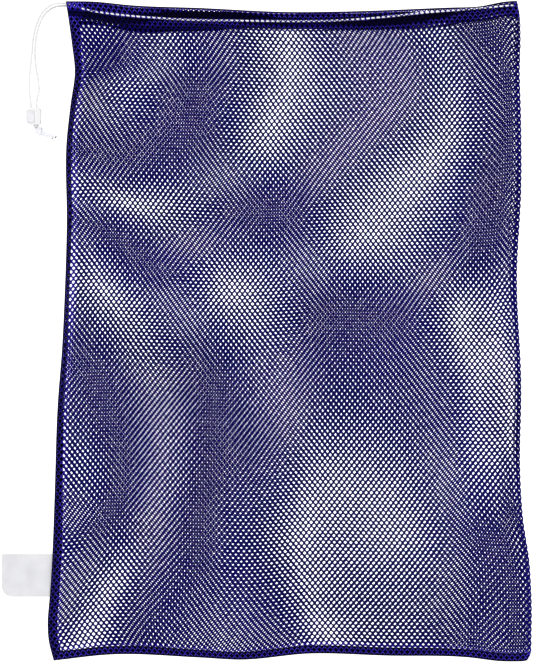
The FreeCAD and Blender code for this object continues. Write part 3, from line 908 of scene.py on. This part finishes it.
# One white cord in three colours. The hem's run is painted brighter, as painted light against the net's shade over it;
# the knot and tails are painted brighter against the knot's own shade, and bluish as a painted reflection of the net.
hem_cord_white = cord_material("hem_cord_white", (0.9, 0.9, 0.905), (0.97, 0.97, 0.97))
cord_white = cord_material("cord_white", (0.77, 0.77, 0.775), (0.84, 0.84, 0.845))
knot_white = cord_material("knot_white", (0.84, 0.84, 0.885), (0.93, 0.93, 0.96))
melted = tip_material()
satin = label_material()
body_plastic = plastic_material("lock_body_plastic", (0.82, 0.82, 0.825), 0.45)
button_plastic = plastic_material("lock_button_plastic", (0.79, 0.785, 0.815), 0.4)
steel = steel_material()


# ------------------------------------ panels, hem and seams
def hem_shade(x, y):
    """Light on the front of the hem: dim in the creases beside the cord."""
    above = y - cord_level(x)
    upper = smooth_step((above - 1.2 * MM) / MM) * smooth_step((2.2 * MM + crease_above(x) - above) / MM)
    lower = smooth_step((-above - 1.2 * MM) / MM) * smooth_step((2.2 * MM + crease_below(x) + above) / MM)
    return 1 - 0.9 * np.maximum(upper, lower)


def front_painted_light(column, row):
    """Painted light on the front's yarn: painted dark where the two panels' holes lie over each other, bluer over more
    cloth, and painted bright on the hem and seams, with the hem's crease shade.
    """
    x, y = flat_place(column / LAST, row / ROWS)
    hem = smooth_step(1.6 - (ROWS - row) / (HEM_ROWS * hem_scale(column)))
    seams = smooth_step(2.0 - np.minimum(column / SIDE_SEAM_COLUMNS, row / 2.3))
    inside = 0.31 + 0.16 * (1 - holes_in_line(x, y))
    sheen = np.maximum(inside, np.maximum(hem, seams))
    return sheen * (1 - hem * (1 - hem_shade(x, y)))


def back_painted_light(column, row):
    """Painted light on the back's yarn: brighter and bluer than the front's, and painted darker where the two panels'
    holes lie over each other.
    """
    x, y = flat_place(column / LAST, row / ROWS)
    return 0.38 + 0.18 * (1 - holes_in_line(x, y))


def panel_opening(column, row):
    """Holes a little wider over the cord, and drawn in round the fold and where the cord comes in."""
    x, y = flat_place(column / LAST, row / ROWS)
    opening = 0.99 + 0.2 * np.exp(-(((y - cord_level(x)) / (2.2 * MM)) ** 2))
    in_corner = smooth_step((-243 * MM - x) / (5 * MM)) * smooth_step((row - ROWS + 5.5) / 1.5)
    near_corner = smooth_step((-170 * MM - x) / (60 * MM)) * smooth_step((row - ROWS + 32) / 22)
    round_fold = smooth_step((2.6 - (LAST - column)) / 1.2)
    return opening * (1 - 0.5 * in_corner) * (1 - 0.1 * near_corner) * (1 - 0.35 * round_fold)


front_panel = net(
    "front_panel", 0, LAST, 0, ROWS, with_normals(front_surface), 3, panel_opening, front_painted_light,
)
finished(front_panel, panel_yarn, "mesh", "bag", "mesh_body", "hem_front")
back_panel = net(
    "back_panel", -PAST_SIDE, LAST, -PAST_FOOT, ROWS,
    with_normals(back_surface), 8, panel_opening, back_painted_light,
)
finished(back_panel, panel_yarn, "mesh", "bag", "mesh_body", "hem_back")


def inner_front_level(z, row):
    """The hem's inside layer on the front: below the cord, and up against the panel at both edges."""
    open_by = np.sin(np.clip((ROWS - row) / HEM_ROWS, 0, 1) * math.pi)
    return z - 0.7 * MM - 3.0 * MM * open_by


def inner_back_level(z, row):
    """The hem's inside layer on the back: above the cord."""
    open_by = np.sin(np.clip((ROWS - row) / HEM_ROWS, 0, 1) * math.pi)
    return z + 0.7 * MM + 2.9 * MM * open_by


hem_inner_front = net(
    "hem_inner_front", 0, LAST, ROWS - 6, ROWS - 1,
    with_normals(hem_layer(front_surface, 0.0, 0.5, inner_front_level, 0.16)), 21, 0.45,
)
finished(hem_inner_front, hem_yarn, "mesh", "bag", "hem_front")
hem_inner_back = net(
    "hem_inner_back", -1, LAST - 1, ROWS - 6, ROWS - 1,
    with_normals(hem_layer(back_surface, 1.0, 0.5, inner_back_level, 0.2)), 22, 0.5,
)
finished(hem_inner_back, hem_yarn, "mesh", "bag", "hem_back")
side_allowance = net(
    "side_seam_allowance", 0, SIDE_SEAM_COLUMNS, -1, ROWS - 4, with_normals(side_layer), 23, 0.2,
)
finished(side_allowance, hem_yarn, "mesh", "bag", "side_seam")
foot_allowance = net(
    "bottom_seam_allowance", -1, LAST - 1, 0, FOOT_SEAM_ROWS, with_normals(foot_layer), 24, 0.2,
)
finished(foot_allowance, hem_yarn, "mesh", "bag", "bottom_seam")



def edge_yarn(name, radius, node, *lines):
    """A strand of yarn along an edge, on the front panel and on the back one, with no crest light, so the yarn's ramp
    paints it all in the valley's painted shade.
    """
    return finished(tubes(name, lines, radius, 8), panel_yarn, "mesh", "bag", node)


EDGE_POINTS = 500
along = np.linspace(0, LAST, EDGE_POINTS)
upward = np.linspace(0, ROWS, EDGE_POINTS)
steady = np.ones(EDGE_POINTS)
# The mouth's fold has no strand of its own: this dark tube along it stands for the fold's strands seen edge-on, in
# painted shade.
mouth_fold = edge_yarn(
    "mouth_fold", 0.75 * MM, "hem_fold",
    front_surface(along, (ROWS - 0.1) * steady), back_surface(along, (ROWS - 0.1) * steady),
)
side_edge = edge_yarn(
    "side_seam_edge", 0.6 * MM, "side_seam",
    front_surface(0.1 * steady, upward), back_surface(-PAST_SIDE * steady, upward),
)
foot_edge = edge_yarn(
    "bottom_seam_edge", 0.6 * MM, "bottom_seam",
    front_surface(along, 0.1 * steady), back_surface(along, -PAST_FOOT * steady),
)

HEM_LINE = ROWS - HEM_ROWS
front_hem_rows = []
back_hem_rows = []
for offset in (-0.32, 0.32):
    ends = (2, HEM_LINE + offset), (LAST - 1, HEM_LINE + offset)
    front_hem_rows += stitches(hem_line(front_surface), *ends, 3.6 * MM, 0.75 * MM)
    back_hem_rows += stitches(hem_line(back_surface), *ends, 3.6 * MM, 0.3 * MM)
front_stitching = tubes("hem_front_stitching", front_hem_rows, 0.26 * MM, 6)
back_stitching = tubes("hem_back_stitching", back_hem_rows, 0.24 * MM, 6)
finished(front_stitching, thread, "thread", "bag", "hem_stitch_front")
finished(back_stitching, thread, "thread", "bag", "hem_stitch_back")

side_rows = stitches(front_surface, (1.5, 1), (1.5, ROWS - 6), 3.8 * MM, 0.75 * MM)
side_rows += stitches(front_surface, (0.9, 1), (0.9, ROWS - 6), 2.6 * MM, 0.6 * MM, 0.5)
side_stitching = tubes("side_seam_stitching", side_rows, 0.26 * MM, 6)
finished(side_stitching, thread, "thread", "bag", "side_seam_stitch")
foot_rows = stitches(front_surface, (1, 2.2), (LAST - 2, 2.2), 3.8 * MM, 0.75 * MM)
foot_rows += stitches(front_surface, (1, 2.0), (LAST - 2, 2.0), 2.6 * MM, 0.6 * MM, 0.15)
foot_stitching = tubes("bottom_seam_stitching", foot_rows, 0.3 * MM, 6)
finished(foot_stitching, thread, "thread", "bag", "bottom_seam_stitch")

# both panels are one piece of net, folded at the right, so each is declared with its own half of the cut
PANEL_CUT = (0.62, 0.877)
NET_SHARE = 0.55
panel_area = PANEL_CUT[0] * PANEL_CUT[1] * NET_SHARE
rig.sheet(
    back_panel, PANEL_CUT, "laid", area=panel_area, with_pieces=[hem_inner_back, back_stitching],
)
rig.sheet(
    front_panel, PANEL_CUT, "folded", rests_on=[back_panel], area=panel_area,
    with_pieces=[
        hem_inner_front, front_stitching, mouth_fold, side_allowance, side_edge, side_stitching,
        foot_allowance, foot_edge, foot_stitching,
    ],
)


# ------------------------------------ cord
FRONT_EXIT = (-264, 435.2, 11.5)
BACK_EXIT = (-264, 432.6, 2.1)
FRONT_STRAND = [
    FRONT_EXIT, (-275, 436.6, 11.2), (-288.5, 433.2, 8.0), (-299.8, 422.4, 4.0), (-307.2, 405.5, 1.8),
    (-311.0, 387.0, 1.7), (-312.4, 367.0, 1.7), (-314.6, 347.0, 1.7), (-315.8, 327.0, 2.4),
    (-314.6, 311.5, 5.8), (-313.0, 299.5, 8.1), (-311.2, 285.0, 8.1), (-308.6, 273.6, 8.0),
    (-307.0, 268.0, 7.2),
]
BACK_STRAND = [
    BACK_EXIT, (-275, 433.0, 1.8), (-286.5, 429.4, 1.7), (-296.8, 419.6, 1.7), (-303.6, 404.2, 1.7),
    (-307.2, 386.0, 1.7), (-308.3, 367.0, 1.7), (-306.2, 347.0, 1.7), (-303.0, 330.0, 2.3),
    (-302.4, 318.0, 4.2), (-305.4, 308.0, 6.6), (-305.7, 297.5, 8.1), (-305.2, 284.0, 8.1),
    (-304.9, 273.6, 8.0), (-303.5, 267.8, 7.0),
]
FRONT_TAIL = [(-300.4, 265.0, 4.8), (-293.0, 263.0, 3.6), (-286.5, 260.6, 3.0), (-279.6, 257.6, 2.3)]
BACK_TAIL = [(-301.8, 261.8, 4.4), (-295.2, 260.0, 2.4), (-289.6, 258.4, 1.7), (-283.8, 255.9, 1.7)]
KNOT = np.array((-302.9, 267.0, 6.3)) * MM


def braided(name, route, material, *nodes):
    """A braided cord along a route; returns the piece and its middle line."""
    line = spline_points(route, 0.7 * MM)
    piece = tubes(name, [line], CORD_RADIUS, 16, braid)
    return finished(piece, material, "cord", "bag", *nodes), line


hem_run = [FRONT_EXIT] + [(x, y, FRONT_EXIT[2]) for x, y in HEM_RUN]
hem_run += [(x, y, BACK_EXIT[2]) for x, y in reversed(HEM_RUN)] + [BACK_EXIT]
hem_cord, drawn_line = braided("hem_cord", hem_run, hem_cord_white, "drawcord")
front_strand, front_line = braided("front_strand", FRONT_STRAND, cord_white, "cord_strand_front")
back_strand, back_line = braided("back_strand", BACK_STRAND, cord_white, "cord_strand_back")
front_tail, _ = braided("front_tail", FRONT_TAIL, knot_white, "cord_tail_front")
back_tail, _ = braided("back_tail", BACK_TAIL, knot_white, "cord_tail_back")


def knot_line(spread, lift):
    """One strand of the overhand knot: three overlapping bights, closed up tight."""
    t = np.linspace(0.35, 0.35 + 2 * math.pi * 0.985, 130)
    unit = 1.45 * MM
    x = unit * (np.sin(t) + 2 * np.sin(2 * t))
    y = unit * (np.cos(t) - 2 * np.cos(2 * t))
    z = -2.3 * MM * np.sin(3 * t)
    line = np.stack([x, y, z], axis=1)
    outward = line * (1, 1, 0)
    outward = outward / np.linalg.norm(outward, axis=1, keepdims=True)
    return KNOT + line + outward * spread + np.array((0, 0, lift))


knot_lines = [knot_line(0.75 * MM, 0.35 * MM), knot_line(-0.95 * MM, -0.35 * MM)]
knot = tubes("overhand_knot", knot_lines, 1.3 * MM, 14, braid)
finished(knot, knot_white, "cord", "bag", "cord_knot")
front_end = spline_points(FRONT_TAIL, 0.4 * MM)[-4:]
back_end = spline_points(BACK_TAIL, 0.4 * MM)[-3:]
front_tip = finished(tubes("front_tail_tip", [front_end], 1.62 * MM, 14), melted, "cord", "bag")
back_tip = finished(tubes("back_tail_tip", [back_end], 1.58 * MM, 14), melted, "cord", "bag")

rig.cord(hem_cord, drawn_line[0], 1.196, 0.0031, "object", "medium", "taut", path=drawn_line)
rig.cord(front_strand, front_line[0], 0.1988, 0.0031, "knot", "medium", "loose", path=front_line,
        with_pieces=[knot, front_tail, front_tip])
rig.cord(back_strand, back_line[0], 0.1917, 0.0031, "knot", "medium", "loose", path=back_line,
        with_pieces=[back_tail, back_tip])


# ------------------------------------ cord lock
def rounded_plan(width, length, radii, inset):
    """Points round a rectangle with rounded corners, drawn in by an inset; the radii start at +X +Y."""
    points = []
    quarters = ((1, 1, 0), (-1, 1, 90), (-1, -1, 180), (1, -1, 270))
    for (side, end, start), radius in zip(quarters, radii):
        small = max(radius - inset, 0.05 * MM)
        centre = (side * (width / 2 - inset - small), end * (length / 2 - inset - small))
        for step in range(9):
            angle = math.radians(start + 90 * step / 8)
            points.append((centre[0] + small * math.cos(angle), centre[1] + small * math.sin(angle)))
    return points


def rounded_block(name, centre, width, length, radii, low, high, edge=0.0):
    """An upright block with rounded corners and, with an edge radius, rounded rims."""
    profile = [(low, 0.0), (high, 0.0)]
    if edge:
        profile = [(low, 0.6 * edge), (low + 0.25 * edge, 0.15 * edge), (low + 0.6 * edge, 0.0)]
        for step in range(7):
            angle = math.radians(90 * step / 6)
            profile.append((high - edge + edge * math.sin(angle), edge * (1 - math.cos(angle))))
    rings = [[(x + centre[0], y + centre[1], z) for x, y in rounded_plan(width, length, radii, inset)]
             for z, inset in profile]
    count = len(rings[0])
    faces = [tuple(reversed(range(count))), tuple(range(count * (len(rings) - 1), count * len(rings)))]
    for level in range(len(rings) - 1):
        for k in range(count):
            after = (k + 1) % count
            here, above = level * count, (level + 1) * count
            faces.append((here + k, here + after, above + after, above + k))
    mesh = bpy.data.meshes.new(name)
    mesh.from_pydata([point for ring in rings for point in ring], [], faces)
    piece = bpy.data.objects.new(name, mesh)
    scene.collection.objects.link(piece)
    return piece


def cut(piece, tools):
    """Takes the tools' space out of a piece, then leaves only its sharp edges sharp."""
    for tool in tools:
        modifier = piece.modifiers.new("cut", "BOOLEAN")
        modifier.operation = "DIFFERENCE"
        modifier.solver = "EXACT"
        modifier.object = tool
    bpy.context.view_layer.update()
    result = bpy.data.meshes.new_from_object(piece.evaluated_get(bpy.context.evaluated_depsgraph_get()))
    piece.modifiers.clear()
    piece.data = result
    for tool in tools:
        bpy.data.objects.remove(tool)
    for face in result.polygons:
        face.use_smooth = True
    result.set_sharp_from_angle(angle=math.radians(32))
    return piece


# Middles are (x, y); the button's head stands nearer to the lock's left side than to its right.
LOCK = (-0.3093, 0.2853)
LOCK_WIDTH, LOCK_LENGTH, LOCK_TALL = 20.6 * MM, 23.5 * MM, 15 * MM
CORNER, BIG_CORNER = 3.5 * MM, 8 * MM
TUNNEL_WIDTH, TUNNEL_FLOOR, TUNNEL_ROOF = 12.8 * MM, 4.6 * MM, 9.8 * MM
HEAD = (LOCK[0] - 3.6 * MM, LOCK[1] - 0.6 * MM)
HEAD_WIDTH, HEAD_LENGTH, HEAD_CORNER = 9.6 * MM, 16 * MM, 2.3 * MM
HEAD_LOW, HEAD_TOP = 11.4 * MM, 15.6 * MM
HEAD_FIT = 0.15 * MM
THUMB_MARK = (-0.3112, 0.2900)
DOT = (-0.3130, 0.2822)
SPRING_RADIUS, SPRING_WIRE, SPRING_TURNS = 3.1 * MM, 0.4 * MM, 3.5


def make_lock_body():
    """The moulded body: one well-rounded corner, a tunnel for the strands and a window for the button."""
    corners = (CORNER, CORNER, BIG_CORNER, CORNER)
    body = rounded_block("lock_body", LOCK, LOCK_WIDTH, LOCK_LENGTH, corners, 0, LOCK_TALL, 2.4 * MM)
    tunnel = rounded_block(
        "tunnel", LOCK, TUNNEL_WIDTH, 40 * MM, (0.1 * MM,) * 4, TUNNEL_FLOOR, TUNNEL_ROOF,
    )
    window = rounded_block(
        "window", HEAD, HEAD_WIDTH + HEAD_FIT, HEAD_LENGTH + HEAD_FIT, (HEAD_CORNER,) * 4, 9 * MM, 16 * MM,
    )
    well = rounded_block("well", LOCK, 7.8 * MM, 7.8 * MM, (3.8 * MM,) * 4, 1.2 * MM, 5 * MM)
    return cut(body, [tunnel, window, well])


def make_lock_button():
    """The button's head, with an arched thumb mark and a small moulding dot in its top."""
    head = rounded_block(
        "lock_button", HEAD, HEAD_WIDTH, HEAD_LENGTH, (HEAD_CORNER,) * 4, HEAD_LOW, HEAD_TOP, 0.45 * MM,
    )
    turn = np.linspace(-0.25 * math.pi, 1.15 * math.pi, 24)
    arch = np.stack([
        THUMB_MARK[0] + 1.6 * MM * np.cos(turn),
        THUMB_MARK[1] + 1.9 * MM * np.sin(turn),
        np.full(turn.size, HEAD_TOP + 0.1 * MM),
    ], axis=1)
    groove = tubes("groove", [arch], 0.75 * MM, 10)
    dot = tubes("dot", [[(*DOT, 0.0150), (*DOT, 0.0170)]], 0.6 * MM, 12)
    return cut(head, [groove, dot])


finished(make_lock_body(), body_plastic, "lock_plastic", "cord_lock", "cord_lock_body")
finished(make_lock_button(), button_plastic, "lock_plastic", "lock_button", "cord_lock_button")

spring_low, spring_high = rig.box("cord_lock_spring")
turns = np.linspace(0, 2 * math.pi * SPRING_TURNS, 90)
coil = np.stack([
    LOCK[0] + SPRING_RADIUS * np.cos(turns),
    LOCK[1] + SPRING_RADIUS * np.sin(turns),
    spring_low.z + SPRING_WIRE + (spring_high.z - spring_low.z - 2 * SPRING_WIRE) * turns / turns[-1],
], axis=1)
spring = tubes("lock_spring", [coil], SPRING_WIRE, 10)
finished(spring, steel, "spring_steel", "cord_lock", "cord_lock_spring")
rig.squash(spring, "button_press", (0, 0, 1), (-0.3093, 0.2853, spring_low.z), 0.58)


# ------------------------------------ label
def make_label():
    """A folded satin ribbon: both ends in the side seam, the fold away from the bag, one corner rounded."""
    low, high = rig.box("label")
    inner = -0.2762
    corner = 14 * MM
    steps_across, steps_along = 40, 48
    across = np.linspace(low.y, high.y, steps_across)
    from_low = across - low.y
    chord = np.sqrt(np.clip(corner**2 - (corner - from_low) ** 2, 0, None))
    rounding = np.where(from_low < corner, corner - chord, 0)
    out, back = np.linspace(0, 1, steps_along), np.linspace(1, 0, steps_along)
    along = np.concatenate([out, [1.0], back])
    level = np.concatenate([np.full(steps_along, 1.15), [0.75], np.full(steps_along, 0.4)]) * MM
    reach, width = np.meshgrid(along, across)
    outer = (low.x + rounding)[:, None]
    x = inner + (outer - inner) * reach
    wave = 0.5 * MM * reach * np.sin(30 * width + 4 * reach) ** 2
    wave = wave + 0.25 * MM * np.sin(9 * reach + 50 * width) ** 2
    free = smooth_step(reach * 4)
    z = level[None, :] + wave * free
    at_fold = np.arange(along.size) == steps_along
    x = np.maximum(x - at_fold * 0.2 * MM, low.x)
    points = np.stack([x, width, z], axis=-1).reshape(-1, 3)
    index = np.arange(x.size).reshape(x.shape)
    corners = index[:-1, :-1], index[1:, :-1], index[1:, 1:], index[:-1, 1:]
    return new_mesh("woven_label", points, np.stack(corners, axis=-1).reshape(-1, 4))


label = make_label()
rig.blend(label, "bag", "label", (-0.2885, -0.325, 0.0008), (-0.2930, -0.325, 0.0008))
finished(label, satin, "label_satin", None, "label")
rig.sheet(label, (0.057, 0.151), "folded", rests_on=["side_seam_allowance"])


# ------------------------------------ floor, light and camera
TABLE_SIZE = 60
VIEW_REACH = 0.88445    # what the frame's longer side shows of the table


def make_stage():
    """A white table top, a soft light from above and an even white surround."""
    bpy.ops.mesh.primitive_plane_add(size=TABLE_SIZE, location=(0, 0, -0.2 * MM))
    floor = bpy.context.object
    floor.name = "table_top"
    white, _, surface = shader("table_white", 0.9, 0.1)
    surface.inputs["Base Color"].default_value = (0.15, 0.15, 0.15, 1)
    surface.inputs["Emission Color"].default_value = (1, 1, 1, 1)
    surface.inputs["Emission Strength"].default_value = 1.12
    floor.data.materials.append(white)
    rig.stage(floor)

    world = bpy.data.worlds.new("surround")
    world.use_nodes = True
    world.node_tree.nodes["Background"].inputs["Color"].default_value = (1, 1, 1, 1)
    world.node_tree.nodes["Background"].inputs["Strength"].default_value = 0.95
    scene.world = world

    sun = bpy.data.lights.new("soft_top_light", "SUN")
    sun.energy = 0.8
    sun.angle = math.radians(50)
    lamp = bpy.data.objects.new("soft_top_light", sun)
    lamp.rotation_euler = (math.radians(-22), math.radians(-14), 0)
    scene.collection.objects.link(lamp)
    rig.stage(lamp)


def make_camera():
    """Straight above the bag, far off with a long lens."""
    lens = bpy.data.cameras.new("camera")
    lens.lens = 400
    lens.clip_end = 200
    camera = bpy.data.objects.new("camera", lens)
    camera.location = (0, -2 * MM, VIEW_REACH * lens.lens / lens.sensor_width)
    scene.collection.objects.link(camera)
    scene.camera = camera


make_stage()
make_camera()
scene.view_settings.view_transform = "Standard"
scene.view_settings.gamma = 0.68

visual_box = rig.bounds()
with open("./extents.json", "w") as file:
    json.dump({"cad": [list(corner) for corner in cad_box], "visual": [list(corner) for corner in visual_box]}, file)
